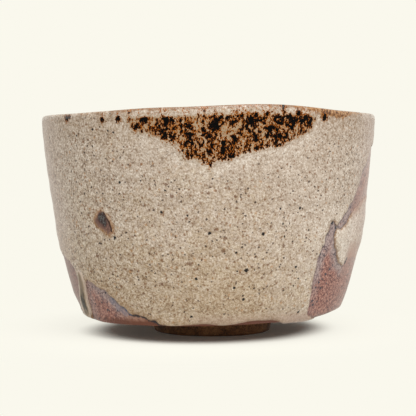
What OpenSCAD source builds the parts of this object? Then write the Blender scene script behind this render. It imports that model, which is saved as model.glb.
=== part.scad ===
// Thrown stoneware tea bowl on a bare foot ring, with its coats of slip and glaze as separate solids.
// Millimetres, +Z up. The origin is on the table, below the centre of the rim. The front faces -Y.
// Angles around the bowl are counted from the front, positive towards +X.

/* [Bowl] */
// Outside diameter of the rim, over the glaze
rim_d = 120; // [100:1:140]
// Height from the table to the top of the lip, over the glaze
bowl_h = 78.5; // [65:0.5:95]
// Outside diameter of the clay where the wall turns in to the waist
waist_d = 92.3; // [80:0.1:105]
// Height of the lower end of the wall above the top of the foot ring
waist_rise = 2.2; // [2:0.1:6]
// Radius of the turn from the wall to the underside
waist_round = 2; // [1.5:0.25:3]
// Lean of the wall just above the waist, in degrees from upright
waist_lean = 19; // [8:1:25]
// Lean of the wall just below the lip, in degrees from upright
rim_lean = 4; // [0:0.5:8]
// Length of the wall curve's handles, which sets how full the belly is
belly = 24; // [12:1:28]

/* [Wall] */
// Width of the clay lip
lip_w = 3.8; // [3:0.1:6]
// Radius of both edges of the clay lip
lip_round = 1; // [0.8:0.1:1.5]
// Thickness of the clay floor at its edge, above the underside
floor_t = 7.5; // [5:0.25:11]
// Radius of the tea pool sunk in the floor
pool_r = 19; // [12:0.5:26]
// Depth of the tea pool
pool_depth = 1.2; // [0.4:0.1:2.5]
// Lean of the inside just below the lip, in degrees from upright
inner_lean = 5; // [2:0.5:8]
// Fullness of the inside towards the lip
inner_fall = 36; // [28:1:44]
// Thickness of the clay at the heel, where the inside sweeps out of the floor
heel_t = 5.5; // [4:0.25:12]

/* [Foot ring] */
// Outside diameter of the foot ring where it meets the underside
foot_d = 43; // [36:0.5:52]
// Height of the foot ring
foot_h = 5.5; // [4.5:0.25:6]
// Width of the foot ring at the underside
foot_w = 6.5; // [5:0.25:9]
// How far each side of the ring draws in towards the table
foot_draw = 0.6; // [0.2:0.1:1.2]
// Bevel on both lower edges of the foot ring
foot_bevel = 0.7; // [0.3:0.1:1.2]
// How far the foot sits to the right of the rim's centre
foot_shift = 1.3; // [0:0.1:2.5]
// Flat land left on the underside around the foot ring
seat_margin = 0.6; // [0.3:0.1:1.5]

/* [Coats] */
// Thickness of the red iron slip on the outside of the clay
slip_t = 0.3; // [0.2:0.05:0.5]
// Thickness of the pale glaze on the outside
glaze_t = 0.6; // [0.4:0.05:1]
// Thickness of the glaze where it runs thin over the top of the lip
lip_t = 0.5; // [0.3:0.05:0.8]
// Thickness of the pale glaze on the inside
inner_t = 0.7; // [0.4:0.05:1]
// Thickness of the glaze run that stands over the pale glaze
run_t = 0.4; // [0.2:0.05:0.7]
// Thickness of the iron splash over the pale glaze
splash_t = 0.3; // [0.2:0.05:0.6]
// Thickness of the iron spots over the pale glaze
spot_t = 0.2; // [0.15:0.05:0.5]
// Height of the lower edge of the slip above the turn to the underside
slip_edge = 0.5; // [0.3:0.1:1]
// Height of the lower edge of the pale glaze above the edge of the slip
glaze_edge = 0.6; // [0.3:0.1:1.2]

/* [Iron] */
// How far the iron splash hangs down from the edge of the lip
splash_drop = 16.5; // [10:0.5:24]
// Height of the middle of the bled spot above the underside
spot_h = 34; // [20:0.5:45]
// Half the height of the bled spot
spot_r = 4.5; // [2:0.25:7]
// Drop of the dabs of iron below the edge of the lip
dab_drop = 1.5; // [1.5:0.1:6]
// Radius of a dab of iron
dab_r = 1; // [0.5:0.1:1.4]

/* [Knife cut] */
// Angle around the bowl at which a knife trimmed the waist
cut_angle = 76; // [40:1:120]
// Slope of the trimmed face, in degrees below level
cut_slope = 68; // [50:1:75]
// How deep the knife cut into the turn of the waist
cut_depth = 2.2; // [0.2:0.05:2.6]

/* [Hidden] */
$fn = 96;
wall_steps = 10;
turn_steps = 5;
pool_steps = 6;

coat_t = slip_t + glaze_t;
rim_r = rim_d / 2 - coat_t;
top_z = bowl_h - lip_t;
waist_r = waist_d / 2;
waist_z = foot_h + waist_rise;
foot_r = foot_d / 2;
seat_r = foot_r + foot_shift + seat_margin;

// Bare marks that the potter's fingers left in the pale glaze when the bowl was dipped, and the run of
// glaze between two of them: [angle around the bowl, height above the underside].
right_mark = [
    [48.4, 35.4], [46.8, 33], [45.3, 30.5], [44.7, 27], [42.7, 23.3], [42.3, 19], [42.1, 13.2],
    [42.5, 8.7], [43.4, 4], [44.5, -4], [75, -4], [112, -4], [112, 6], [104, 15], [92, 22], [78, 26],
    [66, 26.5], [61.8, 24.5], [61.2, 21.5], [60.2, 19.6], [58.2, 18.8], [55.3, 20.2], [52.9, 23.3],
    [51, 26.4], [49.6, 29.5], [50.2, 31.6], [53.5, 32], [56, 32.4], [60, 37], [70.5, 42], [90, 44],
    [108, 40], [118, 36], [122, 40], [108, 51], [92, 60.5], [77, 62], [70, 55], [64.5, 50.5],
    [63.5, 46], [57.5, 39], [52, 34], [50.2, 33.2], [49.3, 34.2]
];
left_mark = [
    [-56.2, 14.6], [-49, 12.5], [-43.4, 10], [-40, 7.7], [-36.9, 6.1], [-35.1, 5.4], [-34, 3.9],
    [-30.5, 3.3], [-26.7, 2.7], [-24.5, 1.9], [-21.5, 0.5], [-20, -4], [-40, -4], [-59.5, -4],
    [-58.4, 1], [-57.4, 4], [-57.2, 7], [-56.9, 11]
];
side_mark = [
    [-72.6, 21.4], [-65.9, 19.3], [-63.3, 17], [-62.9, 14.5], [-63.9, 11.5], [-66.7, 8.3], [-70.3, 5],
    [-73, 2.2], [-74, -4], [-85, -4], [-104, -4], [-104, 6], [-97, 16], [-86, 23], [-78, 22.8]
];
run_outline = [
    [-57.4, 16], [-57.6, 13.2], [-58.2, 10.4], [-59.3, 7.5], [-60.3, 5.1], [-60.6, 3], [-62.7, 1.2],
    [-66.5, 1.7], [-66.2, 3.2], [-65.3, 5.7], [-63.3, 8.7], [-61.5, 11.6], [-60.3, 14.4], [-59.3, 17.2]
];
// The bled spot: [angle, share of its half height above its middle].
bled_spot = [
    [-40.3, 0.93], [-38.7, 0.8], [-37.3, 0.51], [-35.9, 0.16], [-35.2, -0.31], [-36, -0.84], [-38, -1],
    [-39.4, -0.64], [-40.9, -0.53], [-42.7, -0.24], [-43.3, 0.18], [-42.1, 0.53]
];
// The splash: [angle, share of its drop below the edge of the lip], and the angles of the dabs.
splash_outline = [
    [-28, 0.03], [-26.5, 0.15], [-25, 0.33], [-21, 0.38], [-18, 0.46], [-14.6, 0.59], [-10.5, 0.63],
    [-9.5, 0.76], [-8.9, 0.88], [-7.6, 0.94], [-5.5, 0.93], [-2.4, 1], [3.5, 0.99], [6.9, 0.96],
    [11.6, 0.84], [14.4, 0.81], [17.3, 0.74], [21.2, 0.73], [24.2, 0.65], [27, 0.58], [29.8, 0.51],
    [31.6, 0.39], [33.8, 0.34], [35, 0.18], [36, 0.03]
];
dab_angles = [-52.4, -35, -30, 39];

function bezier(a, b, c, d, steps) = [
    for (i = [0:steps]) let (t = i / steps, s = 1 - t)
        s * s * s * a + 3 * s * s * t * b + 3 * s * t * t * c + t * t * t * d
];
function arc(centre, r, from, to, steps) = [
    for (i = [0:steps]) let (a = from + (to - from) * i / steps) centre + r * [cos(a), sin(a)]
];
function tail(list) = [for (i = [1:len(list) - 1]) list[i]];
function slice(list, from, to) = [for (i = [from:to]) list[i]];
function reversed(list) = [for (i = [len(list) - 1:-1:0]) list[i]];
function rounded(outline) = let (n = len(outline)) [
    for (i = [0:n - 1], t = [0.25, 0.75]) (1 - t) * outline[i] + t * outline[(i + 1) % n]
];

// The clay's surface as one line in the plane of radius and height: from the edge of the foot's
// seat along the underside, round the waist, up the wall, over the lip and down to the tea pool.
waist_centre = [waist_r - waist_round * cos(waist_lean), waist_z + waist_round * sin(waist_lean)];
waist_low = waist_centre - [0, waist_round];
under_rise = atan2(waist_low[1] - foot_h, waist_low[0] - seat_r);
waist_arc = arc(waist_centre, waist_round, under_rise - 90, -waist_lean, turn_steps);
wall_top = [rim_r, top_z - lip_round];
wall_curve = bezier(
    [waist_r, waist_z],
    [waist_r, waist_z] + belly * [sin(waist_lean), cos(waist_lean)],
    wall_top - belly * [sin(rim_lean), cos(rim_lean)],
    wall_top, wall_steps
);
lip_outer = arc(wall_top - [lip_round, 0], lip_round, 0, 90, turn_steps);
lip_inner = arc([rim_r - lip_w + lip_round, wall_top[1]], lip_round, 90, 180, turn_steps);
floor_z = foot_h + floor_t;
inner_top = [rim_r - lip_w, wall_top[1]];
inner_curve = bezier(
    inner_top,
    inner_top - inner_fall * [sin(inner_lean), cos(inner_lean)],
    [waist_r - heel_t, floor_z],
    [pool_r, floor_z], wall_steps + turn_steps
);
pool_curve = [
    for (i = [0:pool_steps]) let (r = pool_r * (1 - i / pool_steps))
        [r, floor_z - pool_depth * (1 + cos(180 * r / pool_r)) / 2]
];
skin = concat(
    [[seat_r, foot_h]], waist_arc, tail(wall_curve), tail(lip_outer), lip_inner,
    tail(inner_curve), tail(pool_curve)
);
i_waist = 1;
i_wall = i_waist + turn_steps;
i_lip = i_wall + wall_steps;
i_inner = i_lip + 2 * turn_steps + 1;
i_end = len(skin) - 1;

// The way out of the clay at a point of the skin. It is level where two coats meet at the lip.
function way_out(i) = let (d = skin[min(i + 1, i_end)] - skin[max(i - 1, 0)])
    i == i_lip ? [1, 0] : i == i_inner ? [-1, 0] : i == i_end ? [0, 1] : [d[1], -d[0]] / norm(d);
function lifted(i, t) = skin[i] + t * way_out(i);

// Thickness of the glaze along the lip, from the outside over the thin top to the inside.
function lip_coat(i) = lookup(i, [
    [i_lip, coat_t], [i_lip + turn_steps, lip_t], [i_lip + turn_steps + 1, lip_t], [i_inner, inner_t]
]);

// Radius of the clay's outside at a height on the wall or the waist.
function wall_r(z) = lookup(z, [for (i = [i_waist:i_lip]) [skin[i][1], skin[i][0]]]);

under_z = waist_low[1];
lip_z = wall_top[1];
slip_z = under_z + slip_edge;
glaze_z = slip_z + glaze_edge;

// Outlines in heights above the table.
function up_from_under(outline) = [for (p = outline) [p[0], under_z + p[1]]];
spot_path = [for (p = bled_spot) [p[0], under_z + spot_h + spot_r * p[1]]];
splash_path = [for (p = splash_outline) [p[0], lip_z - splash_drop * p[1]]];

// The knife's half space, moved out of the clay by a coat's thickness.
module knife(t) {
    touch = waist_centre + waist_round * [cos(cut_slope), -sin(cut_slope)];
    rotate([0, 0, cut_angle - 90])
        translate([touch[0], 0, touch[1]])
            rotate([0, cut_slope, 0])
                translate([t - cut_depth, -rim_d, -rim_d])
                    cube([rim_d, 2 * rim_d, 2 * rim_d]);
}

// The outside of the bowl from the waist to the lip as a full solid, a coat's thickness larger.
module outer_form(t) {
    side = [for (i = [i_waist:i_lip]) lifted(i, t)];
    difference() {
        rotate_extrude() polygon(concat([[0, side[0][1]]], side, [[0, lip_z]]));
        knife(t);
    }
}

// A coat on the outside of the wall, from one thickness to another, down to a height.
module coat(from_t, to_t, low_z) {
    intersection() {
        difference() {
            outer_form(to_t);
            outer_form(from_t);
        }
        translate([0, 0, low_z]) cylinder(h = lip_z - low_z, d = rim_d + bowl_h);
    }
}

// A prism that runs out through the wall, with an outline given by angle and height.
module wall_prism(outline) {
    angles = [for (p = outline) p[0]];
    facing = (min(angles) + max(angles)) / 2;
    rotate([0, 0, facing]) rotate([90, 0, 0]) linear_extrude(rim_d)
        polygon([for (p = outline) [wall_r(p[1]) * sin(p[0] - facing), p[1]]]);
}

// A thin patch that lies on the pale glaze, as thick as stated.
module patch(t) {
    intersection() {
        coat(coat_t, coat_t + t, glaze_z);
        children();
    }
}

module clay_body() {
    color("#8a6a4c") difference() {
        rotate_extrude() polygon(concat([[0, foot_h]], skin));
        knife(0);
    }
}

module foot_ring() {
    in_r = foot_r - foot_w;
    land = [in_r + foot_draw + foot_bevel, foot_r - foot_draw - foot_bevel];
    color("#4a2e18") translate([foot_shift, 0, 0]) rotate_extrude() polygon([
        [in_r, foot_h], [in_r + foot_draw, foot_bevel], [land[0], 0], [land[1], 0],
        [foot_r - foot_draw, foot_bevel], [foot_r, foot_h]
    ]);
}

module iron_slip() {
    color("#8f6256") coat(0, slip_t, slip_z);
}

module outer_glaze() {
    color("#bda98f") difference() {
        coat(slip_t, coat_t, glaze_z);
        wall_prism(rounded(up_from_under(right_mark)));
        wall_prism(rounded(up_from_under(left_mark)));
        wall_prism(rounded(up_from_under(side_mark)));
    }
}

module lip_glaze() {
    outside = [for (i = [i_lip:i_inner]) lifted(i, lip_coat(i))];
    color("#b0946f") rotate_extrude()
        polygon(concat(slice(skin, i_lip, i_inner), reversed(outside)));
}

module inner_glaze() {
    inside = [for (i = [i_inner:i_end]) lifted(i, inner_t)];
    color("#b8a68c") rotate_extrude()
        polygon(concat(slice(skin, i_inner, i_end), reversed(inside)));
}

module glaze_run() {
    color("#8d8672") patch(run_t) wall_prism(rounded(up_from_under(run_outline)));
}

module iron_splash() {
    color("#3a2210") patch(splash_t) wall_prism(splash_path);
}

module iron_spots() {
    color("#4f3024") {
        patch(spot_t) wall_prism(rounded(spot_path));
        for (angle = dab_angles) patch(spot_t)
            rotate([0, 0, angle]) translate([0, 0, lip_z - dab_drop]) rotate([90, 0, 0])
                cylinder(h = rim_d, r = dab_r);
    }
}

clay_body();
foot_ring();
iron_slip();
outer_glaze();
lip_glaze();
inner_glaze();
glaze_run();
iron_splash();
iron_spots();
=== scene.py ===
import math

import bmesh
import bpy
import numpy as np
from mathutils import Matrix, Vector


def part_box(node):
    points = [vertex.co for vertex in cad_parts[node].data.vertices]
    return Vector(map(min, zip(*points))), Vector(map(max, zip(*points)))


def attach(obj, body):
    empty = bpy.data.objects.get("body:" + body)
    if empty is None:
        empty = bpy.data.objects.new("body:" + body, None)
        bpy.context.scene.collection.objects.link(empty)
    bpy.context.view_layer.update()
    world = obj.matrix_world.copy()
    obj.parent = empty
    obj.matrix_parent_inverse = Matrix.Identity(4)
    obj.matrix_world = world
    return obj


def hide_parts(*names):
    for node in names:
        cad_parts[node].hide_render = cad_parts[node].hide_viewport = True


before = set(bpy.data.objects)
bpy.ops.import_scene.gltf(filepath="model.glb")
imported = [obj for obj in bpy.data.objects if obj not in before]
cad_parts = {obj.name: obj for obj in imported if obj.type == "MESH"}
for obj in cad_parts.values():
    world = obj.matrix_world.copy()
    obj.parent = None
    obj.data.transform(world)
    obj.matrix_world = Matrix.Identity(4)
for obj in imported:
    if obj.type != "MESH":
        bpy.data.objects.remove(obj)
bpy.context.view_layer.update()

# Looks of a thrown stoneware tea bowl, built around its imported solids. Lengths are in millimetres until a
# mesh is made, heights are above the table, and angles are counted from the front, positive towards +X.
MM = 0.001
FAR = 20.0  # a distance that means far away, for the fields that the materials read


def span(node):
    """Lowest and highest corner of a solid, in millimetres."""
    low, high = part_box(node)
    return np.array(low) / MM, np.array(high) / MM


def smooth(x, low, high):
    """0 at low, 1 at high and a smooth step between. Low may be above high."""
    t = np.clip((x - low) / (high - low), 0, 1)
    return t * t * (3 - 2 * t)


def band(x, rise, fall):
    """1 between two steps and 0 beyond them. Each step has its place at 0 and its place at 1."""
    return smooth(x, *rise) * smooth(x, *fall)


def ring_curve(points):
    """A closed curve around the bowl through pairs of degrees and values, smoothed over a few degrees."""
    reach = 8
    degrees = np.arange(-180, 180)
    coarse = np.interp(degrees, *zip(*points), period=360)
    weight = np.hanning(2 * reach + 1)
    fine = np.convolve(np.pad(coarse, reach, mode="wrap"), weight / weight.sum(), mode="valid")
    return lambda angle: np.interp(np.degrees(angle), degrees, fine, period=360)


# Sizes of the solids: the outer ones from the frame, the rest as they are drawn there
LIP_LOW, LIP_HIGH = span("lip_glaze")
FOOT_LOW, FOOT_HIGH = span("foot_ring")
SLIP_T, GLAZE_T, LIP_T, INNER_T = 0.3, 0.6, 0.5, 0.7
COAT_T = SLIP_T + GLAZE_T
BOWL_H = LIP_HIGH[2]
RIM_R = (LIP_HIGH[1] - LIP_LOW[1]) / 2 - COAT_T
FOOT_H = FOOT_HIGH[2]
FOOT_R = (FOOT_HIGH[0] - FOOT_LOW[0]) / 2
FOOT_SHIFT = (FOOT_HIGH[0] + FOOT_LOW[0]) / 2
FOOT_W, FOOT_DRAW, FOOT_BEVEL = 6.5, 0.6, 0.7
SEAT_R = FOOT_R + FOOT_SHIFT + 0.6
WAIST_R, WAIST_Z, WAIST_ROUND = 46.15, FOOT_H + 2.2, 2.0
WAIST_LEAN, RIM_LEAN, BELLY = 19, 4, 24
LIP_W, LIP_ROUND = 3.8, 1.0
FLOOR_Z, POOL_R, POOL_DEPTH = FOOT_H + 7.5, 19.0, 1.2
INNER_LEAN, INNER_FALL, HEEL_T = 5, 36, 5.5
CUT_ANGLE, CUT_SLOPE, CUT_DEPTH = math.radians(76), math.radians(68), 2.2
SLIP_EDGE = 0.5
BEND_Z = 8.0  # height above which the thrown wall bends out of true
DAB_THICK = 1.9  # how many times thicker iron lies in a dab than in a clump
CURVE_STEPS = 160
# How far apart the rings lie on the wall, inside, under the bowl and on the foot
RING_PITCH, SPIRAL_PITCH, TURN_PITCH, FOOT_PITCH = 7.5, 9, 2.1, 1.3
# How wide the glaze's edge is where it beads and where it fades, and over what length relief ends by the lip
BEAD_W, FADE_W, LIP_FADE = 1.6, 8, 6
# How thick a coat is at its edge, and how far the glaze and a patch on it sink into what is below
EDGE_T, GLAZE_SINK, PATCH_SINK = 0.03, 0.02, 0.05
HIDDEN_PART = 0.08  # share of the bake's map for hidden faces

# Outlines on the wall: angle in degrees, and height above the underside
RIGHT_MARK = [
    (48.4, 35.4), (46.8, 33), (45.3, 30.5), (44.7, 27), (42.7, 23.3), (42.4, 20.7), (42.2, 17.4),
    (42.1, 13.2), (42.5, 8.7), (43.3, 5.6), (43.8, 2.5), (45.5, 1.7), (48.5, 1), (52, 0.4), (55, -0.4),
    (57, -4), (75, -4), (112, -4), (112, 5), (104, 11), (92, 17), (80, 20.5), (70, 21.5), (64.5, 21.3),
    (62, 20.6), (60.2, 19.4), (58.2, 18.7), (55.3, 20.2), (52.9, 23.3), (51, 26.4), (49.6, 29.5),
    (50.2, 31.6), (53.5, 32), (56, 32.4), (60, 37), (70.5, 42), (90, 44), (108, 40), (118, 36), (122, 40),
    (108, 51), (92, 60.5), (77, 62), (70, 55), (64.5, 50.5), (63.5, 46), (57.5, 39), (52, 34), (50.2, 33.2),
    (49.3, 34.2),
]
LEFT_MARK = [
    (-56.2, 14.6), (-49, 12.5), (-43.4, 10), (-40, 7.7), (-36.9, 6.1), (-35.1, 5.4), (-34, 3.9),
    (-30.5, 3.6), (-26.7, 3.1), (-24.5, 2.4), (-21.5, 1.3), (-18, 0.2), (-17, -4), (-40, -4), (-61, -4),
    (-60.2, 1), (-59.2, 4), (-58.4, 7), (-57.3, 11),
]
SIDE_MARK = [
    (-72.6, 21.4), (-65.9, 19.3), (-63.3, 17), (-62.9, 14.5), (-63.9, 11.5), (-66.7, 8.3), (-70.3, 5),
    (-73, 2.2), (-74, -4), (-85, -4), (-104, -4), (-104, 6), (-97, 16), (-86, 23), (-78, 22.8),
]
RUN = [
    (-57.4, 16), (-57.6, 13.2), (-58.2, 10.4), (-59.3, 7.5), (-60.3, 5.1), (-60.6, 3), (-62.7, 1.2),
    (-66.5, 1.7), (-66.2, 3.2), (-65.3, 5.7), (-63.3, 8.7), (-61.5, 11.6), (-60.3, 14.4), (-59.3, 17.2),
]
BLED_SPOT = [
    (-40.3, 38.6), (-38.7, 38), (-37.3, 36.7), (-35.9, 35.1), (-35.2, 33), (-35.6, 31), (-37.4, 29.9),
    (-39, 31.9), (-40.9, 32.4), (-42.7, 33.5), (-43.3, 35.2), (-42.1, 36.8),
]
SPOT_CORE = [
    (-39.8, 38), (-38, 37.9), (-37.4, 36.5), (-37.3, 35), (-37.5, 33.8), (-38.3, 33.1), (-39.3, 33.5),
    (-40.3, 34.2), (-41.2, 35.3), (-41.1, 36.8),
]
# The splash: angle, and drop below the edge of the lip. It starts on top of the lip.
SPLASH = [
    (-28, -3), (-26.5, 1.5), (-25, 5.4), (-21, 6.3), (-18, 7.6), (-16, 8.2), (-14.6, 9.7), (-12.8, 9.9),
    (-10.5, 10.4), (-9.5, 12.6), (-8.9, 14.6), (-7.6, 15.5), (-5.5, 15.4), (-2.4, 16.6), (-0.7, 16.8),
    (-0.3, 18.8), (0.4, 18.9), (1, 16.5), (3.5, 16.4), (6.9, 15.9), (8.8, 15), (11.6, 13.8), (14.4, 13.3),
    (17.3, 12.2), (21.2, 12), (24.2, 10.7), (27, 9.5), (29.8, 8.4), (31.6, 6.5), (33.8, 5.6), (35, 3),
    (36, 0.5), (37, -3),
]
# Where the iron lies thickest: angle, drop and radius
CLUMPS = [
    (-20, 2.4, 1.2), (-22.6, 3.8, 0.8), (-18.7, 5.4, 1), (-13.7, 7.2, 1.5), (-12.7, 2.7, 1.2),
    (-10.9, 2.7, 0.9), (-8.6, 2.5, 0.8), (-6.1, 3.9, 1.1), (-5.7, 7.4, 0.8), (-8.9, 10.5, 1),
    (-7.4, 10.9, 0.8), (-8.7, 12.9, 0.8), (-6.6, 14.3, 1.2), (-1.9, 5.9, 0.9), (-2.2, 7.5, 0.8),
    (-0.3, 8.6, 1), (1.1, 2.3, 1.4), (2.1, 5.1, 1.7), (-2.4, 10.4, 1.3), (0.9, 11.3, 0.7), (3.8, 12.3, 0.8),
    (4.4, 10.6, 1), (7.7, 9.4, 1.2), (7.2, 4.4, 1.2), (-0.1, 12.8, 1), (3.7, 2, 0.8), (5.8, 2.4, 0.9),
    (-11.1, 8.4, 0.9), (0.1, 17, 0.7), (23.4, 0.5, 1), (16.5, 3.5, 1.3), (14.3, 1.6, 1), (17.8, 1.3, 1),
    (25.1, 2.1, 1.4), (28.6, 1, 1.3), (31.1, 1.9, 1.3), (31.5, 4.1, 1.2), (29.7, 6.7, 1), (24.7, 4, 1.2),
    (22.4, 4.3, 1), (11.2, 5.7, 1), (19.4, 5.9, 1), (22.4, 8.4, 0.9), (14.5, 9.4, 1.1), (21.2, 11.2, 0.7),
    (12.8, 3.7, 0.9), (14.4, 12.6, 0.9), (9.4, 12.6, 0.8), (27, 3, 1.5), (29.5, 2.6, 1.4), (26, 5.5, 1.1),
    (32.6, 3, 1.2), (20.5, 2.6, 1), (9.5, 7, 0.9),
]
# Dabs of iron under the lip: angle, drop, and half of their width and height
DABS = [(-52.4, -0.2, 2.2, 1), (-35, 0.9, 1, 1.1), (-29, 1, 0.6, 1.2), (39, 0.9, 0.9, 1.2)]
# A drop of iron on the lip, in the same terms
LIP_DROPS = [(23.4, 0.2, 0.9, 1.4)]
# How far the hand-made lip dips below its highest point, around the bowl
lip_dip = ring_curve([
    (-150, 1.0), (-110, 1.4), (-75, 1.9), (-49, 2.4), (-35, 2.2), (-18, 1.5), (-6, 1.4), (4, 0.9),
    (14, 0.4), (24, 0.35), (34, 0.85), (46, 1.5), (62, 1.5), (75, 1.2), (110, 0.7), (150, 0.6), (180, 0.8),
])
# How far the waist dips below its even height
waist_dip = ring_curve([
    (-110, -0.2), (-90, -0.7), (-78, -0.9), (-68, -0.5), (-62, 0.1), (-52, 0.75), (-40, 0.65), (-25, 0.4),
    (-10, 0.2), (3, 0), (14, -0.2), (25, -0.5), (38, -0.5), (50, -0.4), (62, 0.2), (75, 0.3), (100, 0),
    (160, 0.3),
])
# Height of the pale glaze's lower edge above the underside; below 0 it runs on under the bowl
glaze_edge = ring_curve([
    (-160, 0.4), (-120, 0.9), (-90, 0.3), (-60, 0.5), (-27, 1.4), (-21, 0.9), (-17, 0.35), (-12, 0.35),
    (-9, 0.9), (-2, 1.1), (3, 0.5), (8, 0.5), (12, 0.9), (20, 1.5), (27, 1.7), (29, 0.7), (31, 0),
    (34, -0.2), (40, -0.3), (50, -0.2), (70, 0.2), (110, 0.6), (140, 1.0), (180, 0.1),
])
# How much brown clay breaks through on the lip and how much brown, partly painted shade, lies below it; and
# how dark the fringe of the bare marks is
lip_brown = ring_curve([
    (-120, 0.4), (-60, 0.3), (-44, 0.6), (-30, 0.6), (-20, 0.3), (20, 0.3), (28, 0.6), (35, 1.6), (42, 2.2),
    (49, 1.7), (56, 1.0), (66, 0.5), (110, 0.6), (160, 0.4),
])
fringe_share = ring_curve([
    (-100, 0.2), (-58, 0), (-53, 0), (-46, 0.15), (-41, 0.4), (-36, 0.9), (-24, 1), (-19, 0.9), (-15, 0.1),
    (-11, 0), (40, 0), (45, 0.1), (48, 0.6), (51, 0.5), (56, 0.2), (75, 0.1), (110, 0.4),
])
# How tan the glaze turns along its open edges, and how lavender the slip is next to it
ochre_share = ring_curve([
    (-100, 0.2), (-62, 0.1), (-55, 0.2), (-50, 0.7), (-40, 1), (-20, 0.5), (0, 0.2), (38, 0.2), (60, 0.2),
    (100, 0.3), (160, 0.4),
])
lavender_share = ring_curve([
    (-110, 0.3), (-62, 0.2), (-56, 0.6), (-50, 1), (-34, 0.9), (-26, 0.3), (-20, 0.2), (38, 1), (56, 1),
    (66, 0.8), (80, 0.6), (110, 0.4), (160, 0.3),
])
# How much paler the glaze stays low down, by the right mark
pale_share = ring_curve([(-60, 0), (18, 0), (34, 0.6), (46, 1.2), (58, 1.2), (66, 0.4), (80, 0), (110, 0)])
# How much more the grains and specks stand out towards the sides
pepper_share = ring_curve([
    (-150, 0.3), (-100, 0.8), (-60, 1), (-42, 0.7), (-22, 0.2), (0, 0), (36, 0.1), (60, 0.7), (100, 0.8),
    (150, 0.3),
])


def bezier(a, b, c, d):
    """Points of a cubic curve."""
    t = np.linspace(0, 1, CURVE_STEPS + 1)[:, None]
    s = 1 - t
    return s ** 3 * a + 3 * s * s * t * b + 3 * s * t * t * c + t ** 3 * d


def arc(centre, radius, start, stop, steps):
    """Points of an arc, with its angles in degrees."""
    turn = np.radians(np.linspace(start, stop, steps + 1))
    return centre + radius * np.stack([np.cos(turn), np.sin(turn)], axis=1)


def lean(degrees):
    """A direction that leans out from upright."""
    return np.array([math.sin(math.radians(degrees)), math.cos(math.radians(degrees))])


class Line:
    """A line in the plane of radius and height, evenly stepped, with the way out of it at each place."""

    STEP = 0.1
    SOFTEN = 4  # steps over which corners are rounded off

    def __init__(self, points):
        length = np.concatenate([[0], np.cumsum(np.linalg.norm(np.diff(points, axis=0), axis=1))])
        self.s = np.linspace(0, length[-1], int(length[-1] / self.STEP))
        even = np.stack([np.interp(self.s, length, points[:, k]) for k in (0, 1)], axis=1)
        reach = 3 * self.SOFTEN
        weight = np.exp(-0.5 * (np.arange(-reach, reach + 1) / self.SOFTEN) ** 2)
        weight /= weight.sum()
        padded = np.pad(even, ((reach, reach), (0, 0)), mode="reflect", reflect_type="odd")
        self.r, self.z = (np.convolve(padded[:, k], weight, mode="valid") for k in (0, 1))
        along = np.stack([np.gradient(self.r), np.gradient(self.z)], axis=1)
        along /= np.linalg.norm(along, axis=1)[:, None]
        self.out_r, self.out_z = along[:, 1], -along[:, 0]

    def at(self, s, t):
        """Radius and height at a length along the line and a distance out of it."""
        r = np.interp(s, self.s, self.r) + t * np.interp(s, self.s, self.out_r)
        z = np.interp(s, self.s, self.z) + t * np.interp(s, self.s, self.out_z)
        return r, z


def skin_parts():
    """The clay's surface in parts, from under the bowl's centre over the lip to the tea pool."""
    slope = math.radians(WAIST_LEAN)
    wall_low = np.array([WAIST_R, WAIST_Z])
    wall_top = np.array([RIM_R, BOWL_H - LIP_T - LIP_ROUND])
    inner_edge = wall_top - [LIP_W, 0]
    centre = wall_low - WAIST_ROUND * np.array([math.cos(slope), -math.sin(slope)])
    low = centre - [0, WAIST_ROUND]
    rise = math.degrees(math.atan2(low[1] - FOOT_H, low[0] - SEAT_R))
    heel, pool_edge = np.array([WAIST_R - HEEL_T, FLOOR_Z]), np.array([POOL_R, FLOOR_Z])
    pool = np.linspace(POOL_R, 0, 40)
    dip = POOL_DEPTH * (1 + np.cos(np.pi * pool / POOL_R)) / 2
    return centre, [
        np.array([[0, FOOT_H], [SEAT_R, FOOT_H]]),
        arc(centre, WAIST_ROUND, rise - 90, -WAIST_LEAN, 24),
        bezier(wall_low, wall_low + BELLY * lean(WAIST_LEAN), wall_top - BELLY * lean(RIM_LEAN), wall_top),
        arc(wall_top - [LIP_ROUND, 0], LIP_ROUND, 0, 90, 16),
        arc(inner_edge + [LIP_ROUND, 0], LIP_ROUND, 90, 180, 16),
        bezier(inner_edge, inner_edge - INNER_FALL * lean(INNER_LEAN), heel, pool_edge),
        np.stack([pool, FLOOR_Z - dip], axis=1)[1:],
    ]


WAIST_CENTRE, PARTS = skin_parts()
SKIN = Line(np.concatenate(PARTS))
UNDER_Z = WAIST_CENTRE[1] - WAIST_ROUND
LIP_Z = PARTS[2][-1][1]


def length_to(part):
    """Length along the skin to the end of one of its parts."""
    points = np.concatenate(PARTS[:part + 1])
    return np.linalg.norm(np.diff(points, axis=0), axis=1).sum()


# Lengths along the skin to the waist, the wall, the lip, its top, the inside and the end
S_WAIST = length_to(0) + np.linalg.norm(PARTS[1][0] - PARTS[0][-1])
S_WALL, S_LIP, S_INNER = (length_to(part) for part in (1, 2, 4))
S_TOP = (S_LIP + S_INNER) / 2
S_END = SKIN.s[-1]


def path_at(z):
    """Length along the skin at a height on the outside, run on evenly below the waist and above the lip."""
    outside = (SKIN.s >= S_WAIST) & (SKIN.s <= S_LIP)
    s = np.interp(z, SKIN.z[outside], SKIN.s[outside])
    return s + np.minimum(z - SKIN.z[outside][0], 0) + np.maximum(z - SKIN.z[outside][-1], 0)


def waves(angle, s, seed, count, around, along):
    """Smooth relief of about -1 to 1: cosines with a whole number of waves around the bowl."""
    draw = np.random.default_rng(seed)
    total = np.zeros(np.shape(angle))
    for _ in range(count):
        turns = draw.integers(around[0], around[1] + 1)
        per_mm = draw.uniform(-along, along)
        total = total + np.cos(turns * angle + 2 * np.pi * (per_mm * s + draw.random()))
    return total / math.sqrt(count)


def height_at(s):
    """Height above the underside at a length along the skin."""
    return np.interp(s, SKIN.s, SKIN.z) - UNDER_Z


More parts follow.
